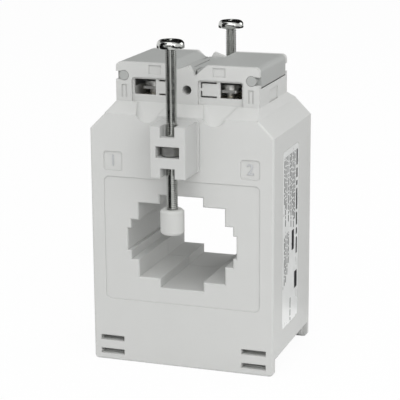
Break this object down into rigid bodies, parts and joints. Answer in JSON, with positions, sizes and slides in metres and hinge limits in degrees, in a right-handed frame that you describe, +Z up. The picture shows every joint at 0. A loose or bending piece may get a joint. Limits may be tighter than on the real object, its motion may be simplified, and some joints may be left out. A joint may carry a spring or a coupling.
{
  "type": "current transformer",
  "caption": "Window-type current transformer with a stepped busbar opening, two long clamp screws and hinged terminal lids.",
  "frame": {"origin": "middle of the bounding box at the plane the two flanges stand on", "axes": "+Z up along the clamp screws, -Y out of the front where the busbar enters, +X towards the side with the rating label"},
  "size_m": [0.07, 0.0786, 0.1224],
  "materials": {
    "housing_plastic": "light grey moulded plastic with a fine grain",
    "lid_plastic": "translucent smoky grey plastic",
    "clamp_plastic": "light grey moulded plastic",
    "foot_plastic": "pale plastic cap",
    "cap_plastic": "dark moulded insulation",
    "bright_steel": "bright zinc plate",
    "zinc_steel": "zinc plate",
    "core_steel": "wound grain-oriented strip",
    "terminal_brass": "plain brass",
    "copper_wire": "enamelled copper wire, wound close",
    "wire_insulation": "black insulated wire",
    "label_film": "pale label film with plain grey fields"
  },
  "bodies": {
    "housing": {"front_shell": "housing_plastic", "rear_cover": "housing_plastic", "rating_label": "label_film", "secondary_winding": "copper_wire", "front_core_cap": "cap_plastic", "rear_core_cap": "cap_plastic", "ring_core": "core_steel", "front_clamp_block": "clamp_plastic", "rear_clamp_block": "clamp_plastic", "front_clamp_nut": "zinc_steel", "rear_clamp_nut": "zinc_steel", "left_terminal_bar": "terminal_brass", "right_terminal_bar": "terminal_brass", "left_lead": "wire_insulation", "right_lead": "wire_insulation"},
    "left_lid": {"left_lid": "lid_plastic"},
    "right_lid": {"right_lid": "lid_plastic"},
    "front_clamp_foot": {"front_clamp_foot": "foot_plastic"},
    "front_clamp_screw": {"front_clamp_screw": "bright_steel"},
    "rear_clamp_foot": {"rear_clamp_foot": "foot_plastic"},
    "rear_clamp_screw": {"rear_clamp_screw": "bright_steel"},
    "front_left_terminal_saddle": {"front_left_terminal_saddle": "zinc_steel"},
    "front_left_terminal_screw": {"front_left_terminal_screw": "zinc_steel"},
    "front_right_terminal_saddle": {"front_right_terminal_saddle": "zinc_steel"},
    "front_right_terminal_screw": {"front_right_terminal_screw": "zinc_steel"},
    "rear_left_terminal_saddle": {"rear_left_terminal_saddle": "zinc_steel"},
    "rear_left_terminal_screw": {"rear_left_terminal_screw": "zinc_steel"},
    "rear_right_terminal_saddle": {"rear_right_terminal_saddle": "zinc_steel"},
    "rear_right_terminal_screw": {"rear_right_terminal_screw": "zinc_steel"}
  },
  "joints": [
    {"name": "right_lid_hinge", "type": "hinge", "parent": "housing", "child": "right_lid", "pos_m": [0.02425, 0, 0.1074], "axis": [0, 1, 0], "range_deg": [0, 82]},
    {"name": "left_lid_hinge", "type": "hinge", "parent": "housing", "child": "left_lid", "pos_m": [-0.02425, 0, 0.1074], "axis": [0, -1, 0], "range_deg": [0, 82]},
    {"name": "front_clamp_travel", "type": "slide", "parent": "housing", "child": "front_clamp_foot", "axis": [0, 0, 1], "range_m": [-0.0253, 0.0119]},
    {"name": "front_clamp_turn", "type": "hinge", "parent": "front_clamp_foot", "child": "front_clamp_screw", "pos_m": [0, -0.0345, 0.09], "axis": [0, 0, 1], "range_deg": [-13013, 6121]},
    {"name": "rear_clamp_travel", "type": "slide", "parent": "housing", "child": "rear_clamp_foot", "axis": [0, 0, 1], "range_m": [-0.0253, 0.0119]},
    {"name": "rear_clamp_turn", "type": "hinge", "parent": "rear_clamp_foot", "child": "rear_clamp_screw", "pos_m": [0, 0.0345, 0.09], "axis": [0, 0, 1], "range_deg": [-13013, 6121]},
    {"name": "front_left_terminal_travel", "type": "slide", "parent": "housing", "child": "front_left_terminal_saddle", "axis": [0, 0, 1], "range_m": [-0.0021, 0.0012]},
    {"name": "front_left_terminal_turn", "type": "hinge", "parent": "front_left_terminal_saddle", "child": "front_left_terminal_screw", "pos_m": [-0.0146, -0.0116, 0.1], "axis": [0, 0, 1], "range_deg": [-1082, 619]},
    {"name": "front_right_terminal_travel", "type": "slide", "parent": "housing", "child": "front_right_terminal_saddle", "axis": [0, 0, 1], "range_m": [-0.0021, 0.0012]},
    {"name": "front_right_terminal_turn", "type": "hinge", "parent": "front_right_terminal_saddle", "child": "front_right_terminal_screw", "pos_m": [0.0146, -0.0116, 0.1], "axis": [0, 0, 1], "range_deg": [-1082, 619]},
    {"name": "rear_left_terminal_travel", "type": "slide", "parent": "housing", "child": "rear_left_terminal_saddle", "axis": [0, 0, 1], "range_m": [-0.0021, 0.0012]},
    {"name": "rear_left_terminal_turn", "type": "hinge", "parent": "rear_left_terminal_saddle", "child": "rear_left_terminal_screw", "pos_m": [-0.0146, 0.0116, 0.1], "axis": [0, 0, 1], "range_deg": [-1082, 619]},
    {"name": "rear_right_terminal_travel", "type": "slide", "parent": "housing", "child": "rear_right_terminal_saddle", "axis": [0, 0, 1], "range_m": [-0.0021, 0.0012]},
    {"name": "rear_right_terminal_turn", "type": "hinge", "parent": "rear_right_terminal_saddle", "child": "rear_right_terminal_screw", "pos_m": [0.0146, 0.0116, 0.1], "axis": [0, 0, 1], "range_deg": [-1082, 619]}
  ],
  "couplings": [
    {"joint": "front_clamp_turn", "follows": "front_clamp_travel", "rad_per_m": 8976},
    {"joint": "rear_clamp_turn", "follows": "rear_clamp_travel", "rad_per_m": 8976},
    {"joint": "front_left_terminal_turn", "follows": "front_left_terminal_travel", "rad_per_m": 8976},
    {"joint": "front_right_terminal_turn", "follows": "front_right_terminal_travel", "rad_per_m": 8976},
    {"joint": "rear_left_terminal_turn", "follows": "rear_left_terminal_travel", "rad_per_m": 8976},
    {"joint": "rear_right_terminal_turn", "follows": "rear_right_terminal_travel", "rad_per_m": 8976}
  ]
}
